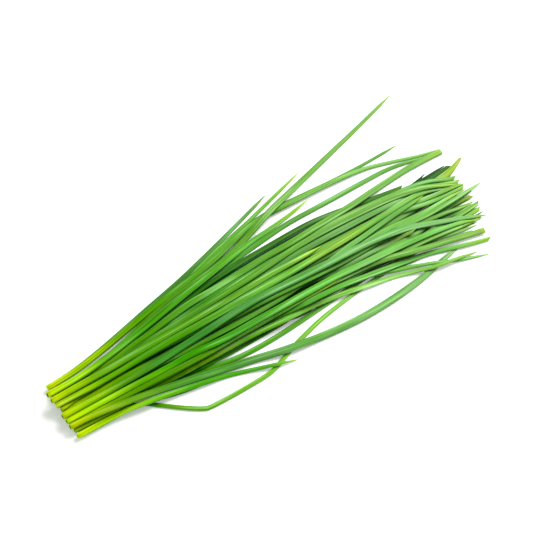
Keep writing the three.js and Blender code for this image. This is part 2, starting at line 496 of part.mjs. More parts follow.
// One cross-section's corners: upright, square to the leaf's course on the plan unless it is slanted
function ring(at, before, after, halfWidth, halfDepth, slant = 0) {
  const course = new THREE.Vector2(after.plan.x - before.plan.x, after.plan.y - before.plan.y).normalize();
  return Array.from({ length: SIDES }, (_, k) => {
    const turn = (2 * Math.PI * k) / SIDES;
    const side = halfWidth * Math.cos(turn);
    return [
      at.x - course.y * side + course.x * side * slant,
      at.y + course.x * side + course.y * side * slant,
      at.z + (halfDepth * Math.sin(turn)) / LEVEL,
    ];
  });
}

// The closed tube: outer skin, the rim of the cut end, the bore and its end
function tubeGeometry(stations, spec) {
  const kept = keepStations(stations);
  const rings = [];
  const centre = (s) => ({ x: s.plan.x, y: s.plan.y, z: s.z });
  kept.forEach((s, i) => {
    const before = kept[Math.max(0, i - 1)];
    const after = kept[Math.min(kept.length - 1, i + 1)];
    const slant = spec.tip === "cut" && s === after ? spec.slant : 0;
    rings.push(ring(centre(s), before, after, s.r, s.foot, slant));
  });
  if (spec.tip === "slender" || spec.tip === "point") rings.pop();

  const root = kept[0];
  const next = kept[1];
  const inward = new THREE.Vector3(next.plan.x - root.plan.x, next.plan.y - root.plan.y, next.z - root.z);
  const share = BORE_DEPTH / inward.length();
  const boreEnd = {
    x: root.plan.x + inward.x * share,
    y: root.plan.y + inward.y * share,
    z: root.z + inward.z * share,
  };
  const boreWidth = root.r - WALL;
  const boreDepth = Math.max(LEAST_BORE, root.foot - WALL);
  rings.unshift(ring(centre(root), root, next, boreWidth, boreDepth));
  rings.unshift(ring(boreEnd, root, next, boreWidth, boreDepth));

  // Both ends of this row of rings close on a middle point
  const vertices = rings.flat();
  const first = vertices.push([boreEnd.x, boreEnd.y, boreEnd.z]) - 1;
  const tip = kept[kept.length - 1];
  const last = vertices.push([tip.plan.x, tip.plan.y, tip.z]) - 1;
  const faces = [];
  for (let k = 0; k < SIDES; k++) {
    const turn = (k + 1) % SIDES;
    faces.push([first, turn, k]);
    for (let j = 0; j + 1 < rings.length; j++) {
      const a = j * SIDES + k;
      const b = j * SIDES + turn;
      faces.push([a, b, b + SIDES], [a, b + SIDES, a + SIDES]);
    }
    const end = (rings.length - 1) * SIDES;
    faces.push([last, end + k, end + turn]);
  }
  const geometry = new THREE.BufferGeometry();
  geometry.setAttribute("position", new THREE.Float32BufferAttribute(vertices.flat(), 3));
  geometry.setIndex(faces.flat());
  geometry.computeVertexNormals();
  return geometry;
}

// Cut tips are slanted to the left and the right by turns
LEAVES.forEach((spec, i) => (spec.slant = i % 2 ? SLANT : -SLANT));

const bunch = new THREE.Group();
for (const { spec, stations } of layPile()) {
  const color = GREENS[spec.colour];
  const material = new THREE.MeshStandardMaterial({ color, roughness: 0.45, metalness: 0 });
  const mesh = new THREE.Mesh(tubeGeometry(stations, spec), material);
  mesh.name = `leaf_${spec.name}`;
  bunch.add(mesh);
}

// The origin lies on the table, under the middle of the bunch
const box = new THREE.Box3().setFromObject(bunch);
bunch.position.set(-(box.min.x + box.max.x) / 2, -(box.min.y + box.max.y) / 2, 0);

export default bunch;
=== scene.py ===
"""Dresses a loose bunch of cut chives that lies on a pale table.

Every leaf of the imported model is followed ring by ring, and a finer tube with a thin-walled, open cut end
is grown along the same course. Lengths in the classes are millimetres, and the scene itself is in metres.
"""

import json
import logging
import math
import random
from dataclasses import dataclass, field
from enum import Enum
from typing import NamedTuple

import bmesh
import bpy
from mathutils import Matrix, Vector
from mathutils.kdtree import KDTree


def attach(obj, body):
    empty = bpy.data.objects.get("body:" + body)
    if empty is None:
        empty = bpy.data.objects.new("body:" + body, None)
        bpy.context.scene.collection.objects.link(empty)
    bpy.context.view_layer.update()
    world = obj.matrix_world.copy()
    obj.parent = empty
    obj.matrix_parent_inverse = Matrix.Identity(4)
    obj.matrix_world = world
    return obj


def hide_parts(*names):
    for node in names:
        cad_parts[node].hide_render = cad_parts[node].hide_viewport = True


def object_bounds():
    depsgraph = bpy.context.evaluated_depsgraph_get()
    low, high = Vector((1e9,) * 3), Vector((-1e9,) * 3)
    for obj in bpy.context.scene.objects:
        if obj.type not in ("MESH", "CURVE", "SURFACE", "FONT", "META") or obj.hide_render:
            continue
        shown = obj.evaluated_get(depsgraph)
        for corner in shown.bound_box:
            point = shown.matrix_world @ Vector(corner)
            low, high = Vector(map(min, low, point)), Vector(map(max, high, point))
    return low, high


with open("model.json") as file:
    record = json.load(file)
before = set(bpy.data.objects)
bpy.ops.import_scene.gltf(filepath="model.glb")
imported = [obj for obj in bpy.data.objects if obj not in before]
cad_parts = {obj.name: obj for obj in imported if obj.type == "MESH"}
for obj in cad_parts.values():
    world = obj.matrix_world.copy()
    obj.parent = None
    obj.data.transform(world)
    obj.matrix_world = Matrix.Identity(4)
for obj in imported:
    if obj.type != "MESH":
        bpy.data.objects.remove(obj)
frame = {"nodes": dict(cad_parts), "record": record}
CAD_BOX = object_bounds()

LOG = logging.getLogger("chive_bunch")
MM = 0.001
SEED = 11
SEEDS_A_BUNCH = 1000  # numbers kept for the leaves of one bunch, so that no two leaves draw alike

# The CAD leaf
CAD_SIDES = 6  # corners of its cross-section
ENDS_TRIED = 16  # how many of its farthest vertices are tried as its tip
LEAST_LAYERS = 6  # a walk from the tip meets more layers of vertices than this
MERGE_M = 2e-6  # vertices closer than this are one
POINT_MM = 2.5  # a tip that stands out further than this is a point, and not a flat cut
TIP_WIDTH_MM = 0.12  # half-width of the finer leaf at a point
TIP_DEPTH_MM = 0.1  # half its thickness there

# The finer leaf's cut end
BORE_MIDDLE = 0.5  # a ring of the bore, by its share of the depth
BORE_RINGS_MM = (1.5, 0.15)  # more rings near the cut, by their distance from it
RIM_SHARES = (0.7, 0.25)  # rings on the cut wall, by their share of its thickness
RIM_ROUNDING_MM = 0.12  # how far the skin's first ring is set back from the rim
CUT_LEAN_MM = 0.4  # how far the cut's top and underside stand out at most
CUT_LEAN_REACH_MM = 3.0  # over this length the lean fades
CLEAR_OF_TABLE_M = 0.00002  # the skin stays this far above the table

# Places on the skin
UNEVEN_ENDS_MM = 8.0  # a leaf that starts further in than this is a short one, and is green from there
PATTERN_RADIUS_MM = 2.0  # the patterns are laid out for a tube of this radius
PATTERN_SHIFT_MM = 400.0  # chance shifts a leaf's patterns sideways by up to this
LENGTHWISE_SHIFT = 3  # and along the leaf by this many times as much
USUAL_PACE = (0.8, 1.25)  # least and greatest greening pace that chance gives
PACE_REACH_MM = (25.0, 120.0)  # where a leaf's own pace starts to fade, and where it has ended


class Tint(Enum):
    """The record's material slots, one for each tint of leaf."""

    DEEP = "deep_green"
    MID = "mid_green"
    BRIGHT = "bright_green"
    BLUE = "blue_green"
    YELLOW = "yellow_green"


def linear(code: str) -> tuple[float, float, float, float]:
    """Turns an sRGB hex colour into linear light.

    Args:
        code: the colour as "#rrggbb".

    Returns:
        Red, green, blue and alpha, linear.
    """
    parts = [int(code[i : i + 2], 16) / 255 for i in (1, 3, 5)]
    turned = [p / 12.92 if p <= 0.04045 else ((p + 0.055) / 1.055) ** 2.4 for p in parts]
    return (*turned, 1.0)


def ease(low: float, high: float, value: float) -> float:
    """Rises smoothly from 0 to 1.

    Args:
        low: where the rise starts.
        high: where it ends.
        value: the place on it.

    Returns:
        0 below low, 1 above high, and the rise between them.
    """
    share = min(1.0, max(0.0, (value - low) / (high - low)))
    return share * share * (3 - 2 * share)


def bend(start: float, end: float, start_slope: float, end_slope: float, share: float) -> float:
    """Joins two values by a curve with a given slope at each end.

    Args:
        start: the value at share 0.
        end: the value at share 1.
        start_slope: the slope at share 0.
        end_slope: the slope at share 1.
        share: the place on the curve.

    Returns:
        The value there.
    """
    rise = share * share * (3 - 2 * share)
    leave = start_slope * share * (1 - share) ** 2
    arrive = end_slope * share * share * (1 - share)
    return start + (end - start) * rise + leave - arrive


def add_node(
    tree: bpy.types.NodeTree,
    kind: str,
    settings: dict[str, object] | None = None,
    inputs: dict[str | int, object] | None = None,
) -> bpy.types.Node:
    """Adds a shader node with its settings and links.

    Args:
        tree: the material's node tree.
        kind: the node's type name.
        settings: attributes of the node, such as its blend type.
        inputs: a value or an output socket for each named or numbered input.

    Returns:
        The new node.
    """
    node = tree.nodes.new(kind)
    for name, value in (settings or {}).items():
        setattr(node, name, value)
    for name, value in (inputs or {}).items():
        if isinstance(value, bpy.types.NodeSocket):
            tree.links.new(value, node.inputs[name])
        else:
            node.inputs[name].default_value = value
    return node


@dataclass(frozen=True)
class Greening:
    """How a fresh leaf's colour runs from its blanched cut end to its waxy, paler tip.

    Attributes:
        stops: distance from the cut end in mm, and the colour there.
        reach_mm: the distance at the ramp's far end.
    """

    stops: tuple[tuple[float, str], ...] = (
        (0, "#e2ff00"),
        (14, "#b6ec00"),
        (34, "#70ba00"),
        (60, "#54aa00"),
        (105, "#56ac10"),
        (155, "#6bbc30"),
        (205, "#80c84e"),
        (290, "#88cc5a"),
    )
    reach_mm: float = 300.0

    def ramp(self, tree: bpy.types.NodeTree, along: bpy.types.NodeSocket) -> bpy.types.NodeSocket:
        """Adds the ramp to a material.

        Args:
            tree: the material's node tree.
            along: the socket that gives the distance from the cut end, in mm.

        Returns:
            The colour's socket.
        """
        share = add_node(tree, "ShaderNodeMapRange", inputs={"Value": along, "From Max": self.reach_mm})
        node = add_node(tree, "ShaderNodeValToRGB", inputs={"Fac": share.outputs[0]})
        ramp = node.color_ramp
        ramp.interpolation = "EASE"
        ramp.elements[0].color = linear(self.stops[0][1])
        ramp.elements[1].color = linear(self.stops[-1][1])
        ramp.elements[1].position = self.stops[-1][0] / self.reach_mm
        for place, code in self.stops[1:-1]:
            ramp.elements.new(place / self.reach_mm).color = linear(code)
        return node.outputs[0]


@dataclass(frozen=True)
class Grain:
    """A noise pattern that is drawn out along the leaf.

    Attributes:
        across_mm: spacing of the marks round the leaf.
        along_mm: their spacing along it.
        detail: the noise's detail.
        roughness: the noise's roughness.
        low: the noise's value that gives a share of 0.
        high: the value that gives a share of 1.
    """

    across_mm: float
    along_mm: float
    detail: float
    roughness: float
    low: float
    high: float

    def noise(self, tree: bpy.types.NodeTree, course: bpy.types.NodeSocket) -> bpy.types.NodeSocket:
        """Adds the noise.

        Args:
            tree: the material's node tree.
            course: the socket that gives the place round and along the leaf, in mm.

        Returns:
            The noise's socket.
        """
        drawn_out = add_node(
            tree,
            "ShaderNodeMapping",
            inputs={"Vector": course, "Scale": (1.0, 1.0, self.across_mm / self.along_mm)},
        )
        node = add_node(
            tree,
            "ShaderNodeTexNoise",
            inputs={
                "Vector": drawn_out.outputs[0],
                "Scale": 1 / self.across_mm,
                "Detail": self.detail,
                "Roughness": self.roughness,
            },
        )
        return node.outputs[0]

    def share(self, tree: bpy.types.NodeTree, noise: bpy.types.NodeSocket) -> bpy.types.NodeSocket:
        """Stretches the noise's middle range to run from 0 to 1.

        Args:
            tree: the material's node tree.
            noise: the noise's socket.

        Returns:
            The share's socket.
        """
        node = add_node(
            tree,
            "ShaderNodeMapRange",
            inputs={"Value": noise, "From Min": self.low, "From Max": self.high},
        )
        return node.outputs[0]


# Real ribs are about 0.2 mm apart, and are drawn coarser so that they show; their hollows also carry painted
# shade
RIBS = Grain(across_mm=0.35, along_mm=21.0, detail=3.0, roughness=0.6, low=0.38, high=0.64)
# Stretches with more and with less wax
PATCHES = Grain(across_mm=8.3333, along_mm=30.0, detail=2.0, roughness=0.5, low=0.36, high=0.66)
# Paler streaks, about a millimetre wide: partly the leaf's own lines and partly painted highlight
HIGHLIGHT_STREAKS = Grain(across_mm=1.8182, along_mm=45.0, detail=1.0, roughness=0.5, low=0.52, high=0.72)
# Painted shade in furrows, about half a millimetre wide
FURROW_SHADE = Grain(across_mm=1.0, along_mm=80.0, detail=1.0, roughness=0.5, low=0.37, high=0.45)


@dataclass(frozen=True)
class LeafSkin:
    """The waxy skin of a fresh chive leaf: semi-matt, finely ribbed lengthwise, paler where it was cut.

    The pale streaks along the leaf are partly its own lines and partly painted highlight, painted shade in
    the hollows between the ribs and in the furrows makes the green look deep there, and the wax makes the top
    look dusty. The skin reads what each leaf's mesh carries: "course" (place round and along the leaf, in
    mm), "along_mm" (distance from the bunch's cut ends), "ripe" (1 where a leaf is turning yellow, 2 where it
    is dry), "lot" (how light the leaf is, with painted shade on its underside, deep in the pile and inside
    its cut end) and "turned" (how far its hue is off the tint's, and towards blue in painted shade).

    Attributes:
        tint: the material slot.
        hue: 0.5 leaves the hue as it is, and more turns it towards blue.
        saturation: the tint's saturation.
        value: the tint's lightness.
        bloom: the wax, pale and slightly blue.
        bloom_share: how much of the wax shows towards the tip.
        ripe: the yellow of a ripe stretch.
        dry: the colour of a dry tip.
        roughness: how matt the skin is.
        gloss_spread: how much glossier the hollows between ribs are, and how much duller the ribs' tops.
        rib_height_mm: how high the ribs stand.
        rib_noise: the part of the ribs' noise over which the gloss changes.
        furrow_shade: painted shade: how light the hollows between ribs and the furrows are, over the skin
            beside them.
        highlight_streak_light: how light the pale streaks are, which are partly the leaf's own lines and
            partly painted highlight.
        highlight_streak_saturation: how strong their colour is.
        root_highlight_streaks: the streaks' share at the root.
        highlight_streak_mm: where the streaks set in, and where they are full, in mm from the cut end.
        wax_mm: the same for the wax.
        tint_mm: the same for the tint: blanched roots are all alike.
        greening: the run of colour along the leaf.
    """

    tint: Tint
    hue: float = 0.5
    saturation: float = 1.0
    value: float = 1.0
    bloom: str = "#90c27b"
    bloom_share: float = 0.28
    ripe: str = "#aed820"
    dry: str = "#a79650"
    roughness: float = 0.4
    gloss_spread: tuple[float, float] = (0.06, 0.1)
    rib_height_mm: float = 0.12
    rib_noise: tuple[float, float] = (0.3, 0.7)
    furrow_shade: float = 0.7
    highlight_streak_light: float = 1.8
    highlight_streak_saturation: float = 0.78
    root_highlight_streaks: float = 0.25
    highlight_streak_mm: tuple[float, float] = (35.0, 90.0)
    wax_mm: tuple[float, float] = (80.0, 210.0)
    tint_mm: tuple[float, float] = (20.0, 80.0)
    greening: Greening = Greening()

    def material(self) -> bpy.types.Material:
        """Builds the skin's material.

        Returns:
            The material, named after the tint.
        """
        skin = bpy.data.materials.new(f"waxy_leaf_skin_{self.tint.value}")
        skin.use_nodes = True
        tree = skin.node_tree
        tree.nodes.clear()
        read = {
            name: add_node(tree, "ShaderNodeAttribute", {"attribute_name": name})
            for name in ("course", "along_mm", "ripe", "tone_and_shade", "turned")
        }
        course = read["course"].outputs["Vector"]
        along = read["along_mm"].outputs["Fac"]
        ripe = read["ripe"].outputs["Fac"]
        tone_and_shade = read["tone_and_shade"].outputs["Fac"]

        green = self.greening.ramp(tree, along)
        ribs = RIBS.noise(tree, course)
        own = self.tinted(tree, self.mix(tree, ripe, green, linear(self.ripe)), along, tone_and_shade, read["turned"])
        furrow_shaded = self.furrow_shaded(tree, own, ribs, course)
        highlight_streaked = self.highlight_streaked(tree, furrow_shaded, course, along)
        waxed = self.waxed(tree, highlight_streaked, course, along, tone_and_shade)
        dry_share = self.ramped(tree, ripe, (1.0, 2.0), 0.0, 1.0)
        colour = self.mix(tree, dry_share, waxed, linear(self.dry))

        bump = add_node(
            tree,
            "ShaderNodeBump",
            inputs={"Height": ribs, "Strength": 0.25, "Distance": self.rib_height_mm * MM},
        )
        glossier, duller = self.gloss_spread
        gloss = self.ramped(tree, ribs, self.rib_noise, self.roughness - glossier, self.roughness + duller)
        surface = add_node(
            tree,
            "ShaderNodeBsdfPrincipled",
            inputs={
                "Base Color": colour,
                "Roughness": gloss,
                "Normal": bump.outputs[0],
                "IOR": 1.42,
                "Specular IOR Level": 0.24,
                "Specular Tint": green,
                "Subsurface Weight": 0.1,
                "Subsurface Radius": (0.5, 1.0, 0.1),
                "Subsurface Scale": 1.2 * MM,
            },
        )
        add_node(tree, "ShaderNodeOutputMaterial", inputs={"Surface": surface.outputs[0]})
        return skin

    def tinted(
        self,
        tree: bpy.types.NodeTree,
        colour: bpy.types.NodeSocket,
        along: bpy.types.NodeSocket,
        tone_and_shade: bpy.types.NodeSocket,
        turned: bpy.types.Node,
    ) -> bpy.types.NodeSocket:
        """Gives a colour the leaf's own hue, strength and lightness, with the painted shade.

        Args:
            tree: the material's node tree.
            colour: the colour's socket.
            along: the socket that gives the distance from the cut end, in mm.
            tone_and_shade: the socket that gives the leaf's lightness, with its painted shade.
            turned: the node that reads how far the hue is off the tint's, where painted shade turns it
                towards blue.

        Returns:
            The tinted colour's socket.
        """
        tint_hue = self.ramped(tree, along, self.tint_mm, 0.5, self.hue)
        strength = self.ramped(tree, along, self.tint_mm, 1.0, self.saturation)
        hue = add_node(tree, "ShaderNodeMath", {"operation": "ADD"}, {0: turned.outputs["Fac"], 1: tint_hue})
        own = add_node(
            tree,
            "ShaderNodeHueSaturation",
            inputs={"Color": colour, "Hue": hue.outputs[0], "Saturation": strength, "Value": tone_and_shade},
        )
        return own.outputs[0]

    def furrow_shaded(
        self,
        tree: bpy.types.NodeTree,
        colour: bpy.types.NodeSocket,
        ribs: bpy.types.NodeSocket,
        course: bpy.types.NodeSocket,
    ) -> bpy.types.NodeSocket:
        """Paints shade into the hollows between the ribs, and into the broader furrows.

        Args:
            tree: the material's node tree.
            colour: the colour's socket.
            ribs: the ribs' noise.
            course: the socket that gives the place round and along the leaf, in mm.

        Returns:
            The furrowed colour's socket.
        """
        # Painted shade in the hollows between the ribs and in the furrows
        for grain, noise in ((RIBS, ribs), (FURROW_SHADE, FURROW_SHADE.noise(tree, course))):
            dark = add_node(
                tree, "ShaderNodeHueSaturation", inputs={"Color": colour, "Value": self.furrow_shade}
            )
            colour = self.mix(tree, grain.share(tree, noise), dark.outputs[0], colour)
        return colour

    def highlight_streaked(
        self,
        tree: bpy.types.NodeTree,
        colour: bpy.types.NodeSocket,
        course: bpy.types.NodeSocket,
        along: bpy.types.NodeSocket,
    ) -> bpy.types.NodeSocket:
        """Lays pale streaks over the green part of the leaf: partly its own lines, and partly painted
        highlight.

        Args:
            tree: the material's node tree.
            colour: the colour's socket.
            course: the socket that gives the place round and along the leaf, in mm.
            along: the socket that gives the distance from the cut end, in mm.

        Returns:
            The streaked colour's socket.
        """
        # Pale streaks, partly the leaf's own lines and partly painted highlight
        pale = add_node(
            tree,
            "ShaderNodeHueSaturation",
            inputs={"Color": colour, "Saturation": self.highlight_streak_saturation, "Value": self.highlight_streak_light},
        )
        reach = self.ramped(tree, along, self.highlight_streak_mm, self.root_highlight_streaks, 1.0)
        share = self.product(tree, HIGHLIGHT_STREAKS.share(tree, HIGHLIGHT_STREAKS.noise(tree, course)), reach)
        return self.mix(tree, share, colour, pale.outputs[0])

    def waxed(
        self,
        tree: bpy.types.NodeTree,
        colour: bpy.types.NodeSocket,
        course: bpy.types.NodeSocket,
        along: bpy.types.NodeSocket,
        tone_and_shade: bpy.types.NodeSocket,
    ) -> bpy.types.NodeSocket:
        """Lays the pale wax over the far part of the leaf. Dark leaves carry less of it, and so do places in
        painted shade.

        Args:
            tree: the material's node tree.
            colour: the colour's socket.
            course: the socket that gives the place round and along the leaf, in mm.
            along: the socket that gives the distance from the cut end, in mm.
            tone_and_shade: the socket that gives the leaf's lightness, with its painted shade.

        Returns:
            The waxed colour's socket.
        """
        reach = self.ramped(tree, along, self.wax_mm, 0.0, self.bloom_share)
        share = self.product(tree, PATCHES.share(tree, PATCHES.noise(tree, course)), reach)
        return self.mix(tree, self.product(tree, share, tone_and_shade), colour, linear(self.bloom))

    @staticmethod
    def product(
        tree: bpy.types.NodeTree, first: bpy.types.NodeSocket, second: bpy.types.NodeSocket
    ) -> bpy.types.NodeSocket:
        """Multiplies two values.

        Args:
            tree: the material's node tree.
            first: the first value's socket.
            second: the second value's socket.

        Returns:
            The product's socket.
        """
        node = add_node(tree, "ShaderNodeMath", {"operation": "MULTIPLY"}, {0: first, 1: second})
        return node.outputs[0]

    @staticmethod
    def mix(
        tree: bpy.types.NodeTree, share: bpy.types.NodeSocket, first: object, second: object
    ) -> bpy.types.NodeSocket:
        """Mixes two colours.

        Args:
            tree: the material's node tree.
            share: the socket that gives the second colour's share.
            first: a colour or a colour socket.
            second: the same.

        Returns:
            The mixed colour's socket.
        """
        # Of the mix node's numbered inputs and outputs, 6 and 7 and output 2 are the colours
        node = add_node(
            tree, "ShaderNodeMix", {"data_type": "RGBA"}, {"Factor": share, 6: first, 7: second}
        )
        return node.outputs[2]

    @staticmethod
    def ramped(
        tree: bpy.types.NodeTree,
        value: bpy.types.NodeSocket,
        reach: tuple[float, float],
        start: float,
        end: float,
    ) -> bpy.types.NodeSocket:
        """Runs evenly from one figure to another as a value crosses a range.

        Args:
            tree: the material's node tree.
            value: the value's socket.
            reach: where the run starts and ends.
            start: the figure up to its start.
            end: the figure from its end on.

        Returns:
            The figure's socket.
        """
        node = add_node(
            tree,
            "ShaderNodeMapRange",
            inputs={
                "Value": value,
                "From Min": reach[0],
                "From Max": reach[1],
                "To Min": start,
                "To Max": end,
            },
        )
        return node.outputs[0]


SKINS = (
    LeafSkin(Tint.DEEP, hue=0.512, value=0.37, bloom_share=0.08),
    LeafSkin(Tint.MID, hue=0.503, value=0.69),
    LeafSkin(Tint.BRIGHT, value=0.8),
    LeafSkin(Tint.BLUE, hue=0.514, saturation=0.9, value=0.72, bloom_share=0.5),
    LeafSkin(Tint.YELLOW, hue=0.494, value=0.85),
)


@dataclass(frozen=True)
class Ripeness:
    """Where a leaf has turned yellow.

    Attributes:
        tip: how yellow the tip is, 0 to 1.
        tip_mm: how far back from the tip the yellow reaches.
        band: the yellow stretch, in mm from the cut end, or None.
        band_depth: how yellow that stretch is.
        band_fade_mm: how far the yellow fades out beyond either end of the stretch.
        dry_mm: how far back from the tip the leaf is dry.
    """

    tip: float = 0.15
    tip_mm: float = 10.0
    band: tuple[float, float] | None = None
    band_depth: float = 0.8
    band_fade_mm: float = 18.0
    dry_mm: float = 0.0

    def at(self, along: float, left: float) -> float:
        """Gives the yellow's share at a place on the leaf.

        Args:
            along: distance from the cut end, in mm.
            left: distance to the tip, in mm.

        Returns:
            0 for green, 1 for yellow, 2 for dry.
        """
        share = self.tip * (1 - ease(0, self.tip_mm, left))
        if self.band:
            start, end = self.band
            rise = ease(start - self.band_fade_mm, start, along)
            fall = 1 - ease(end, end + self.band_fade_mm, along)
            share = max(share, self.band_depth * rise * fall)
        if self.dry_mm:
            fully_dry_mm = self.dry_mm * 0.3
            share += 1 - ease(fully_dry_mm, self.dry_mm, left)
        return share


RIPENESS = {
    "leaf_front_yellow": Ripeness(tip=0.8, tip_mm=45),
    "leaf_yellow_point": Ripeness(tip=0.8, tip_mm=40),
    "leaf_crown_stub": Ripeness(tip=0.7, tip_mm=30),
    "leaf_yellow_stub": Ripeness(tip=0.8, tip_mm=35),
    "leaf_yellow_wide": Ripeness(tip=0.9, tip_mm=75, dry_mm=5),
    "leaf_blunt_wide": Ripeness(tip=0.35, tip_mm=25, dry_mm=1.5),
    "leaf_crown_yellow": Ripeness(tip=0.3, tip_mm=20, band=(184, 206), band_depth=0.45),
    "leaf_near_down_b": Ripeness(tip=0.3, tip_mm=20, band=(50, 95), band_depth=0.3),
    "leaf_near_down_a": Ripeness(tip=0.5, tip_mm=14),
    "leaf_near_fork": Ripeness(tip=0.8, tip_mm=26),
    "leaf_crown_right": Ripeness(tip=0.6, tip_mm=24),
    "leaf_kinked": Ripeness(tip=0.3, tip_mm=20, band=(60, 180), band_depth=0.12),
}

# Leaves that are darker or lighter than their tint
LIGHTNESS = {
    "leaf_far_dark_a": 0.3,
    "leaf_far_dark_b": 0.36,
    "leaf_far_dark_c": 0.3,
    "leaf_far_upper_dark": 0.26,
    "leaf_fan_mid_a": 0.32,
    "leaf_yellow_wide": 0.85,
    "leaf_kinked": 1.2,
    "leaf_near_down_b": 1.18,
    "leaf_near_fork": 1.2,
    "leaf_long_arc": 1.2,
    "leaf_low_edge": 1.25,
    "leaf_near_down_a": 1.15,
    "leaf_near_short": 1.25,
}

# How fast a leaf turns from blanched to green at its root: below 1, the pale stretch reaches further
GREENING_PACE = {
    "leaf_long_arc": 0.55,
    "leaf_front_yellow": 0.8,
    "leaf_crown_stub": 1.1,
    "leaf_crown_yellow": 1.0,
    "leaf_crown_blue": 0.8,
    "leaf_crown_right": 0.62,
    "leaf_broad_bow": 0.85,
    "leaf_near_down_b": 0.7,
    "leaf_near_short": 0.6,
}


@dataclass
class Pile:
    """Where all the leaves run, to tell how deep a place lies under others, for the painted shade there.

    Attributes:
        reach_mm: how far to the side a leaf still covers a place.
        rise_mm: how much higher a leaf runs to count as lying above.
        full: the number of marks above that make the deepest painted shade.
        marks: places on the courses of all the leaves, in metres.
        tree: the marks sorted by their place on the table.
    """

    reach_mm: float = 2.2
    rise_mm: float = 1.6
    full: int = 3
    marks: list[Vector] = field(default_factory=list)
    tree: KDTree | None = None

    def add(self, places: list[Vector]) -> None:
        """Marks the course of one leaf.

        Args:
            places: places along it, in metres.
        """
        self.marks.extend(places)

    def close(self) -> None:
        """Sorts the marks by their place on the table."""
        self.tree = KDTree(len(self.marks))
        for number, place in enumerate(self.marks):
            self.tree.insert((place.x, place.y, 0.0), number)
        self.tree.balance()

    def depth_at(self, place: Vector) -> float:
        """Tells how deep a place lies.

        Args:
            place: the place, in metres.

        Returns:
            0 with nothing above, up to 1 at the bottom of the pile.
        """
        near = self.tree.find_range((place.x, place.y, 0.0), self.reach_mm * MM)
        above = sum(self.marks[number].z > place.z + self.rise_mm * MM for _, number, _ in near)
        return min(1.0, above / self.full)


class Ring(NamedTuple):
    """One cross-section of a leaf, in metres.

    Attributes:
        middle: its centre.
        width: half its width.
        depth: half its thickness.
        slant: how far it runs on along the leaf, per length to the side.
        along: distance from the cut end.
    """

    middle: Vector
    width: float
    depth: float
    slant: float
    along: float = 0.0

    def sizes(self) -> tuple[float, float, float]:
        """Gives the half-width, the half-thickness and the slant."""
        return self.width, self.depth, self.slant


@dataclass(frozen=True)
class Shading:
    """How light and hue vary over the leaves. Each leaf has its own tone by chance, and painted shade darkens
    the bottom of the pile, the underside and the inside of the cut end, to help the lamp and the sky.

    Attributes:
        lots: the darkest and the lightest leaf that chance gives, over the tint's lightness.
        turns: how far chance turns a leaf's hue at most, to yellow and to blue.
        dark: the own lightness below which a leaf is one of the dark ones, which are also the bluest.
        dark_turn: how far the hue of a dark leaf is turned.
        pile: painted shade: how much darker the bottom of the pile is than its top.
        underside_shade: painted shade: how light the pressed underside is, over the top.
        underside: where the dark underside ends and the light top starts, as heights on the section, -1 to 1.
        rim: how light the cut wall is, over the skin.
        bore: painted shade: how light the inside of the cut end is.
        pile_turn: how much the pile's painted shade counts for the hue, where the full underside counts 1.
        shade_turn: how far painted shade turns the hue towards blue.
        root_turn: how much further on the blanched stretch, where the shaded underside is greener than the
            top.
        blanched_mm: where the blanched stretch starts to fade, and where it has ended, from the cut ends.
    """

    lots: tuple[float, float] = (0.86, 1.14)
    turns: tuple[float, float] = (-0.008, 0.013)
    dark: float = 0.5
    dark_turn: float = 0.035
    pile: float = 0.5
    underside_shade: float = 0.46
    underside: tuple[float, float] = (-0.8, 0.42)
    rim: float = 1.3
    bore: float = 0.5
    pile_turn: float = 1.4
    shade_turn: float = 0.012
    root_turn: float = 0.045
    blanched_mm: tuple[float, float] = (30.0, 120.0)


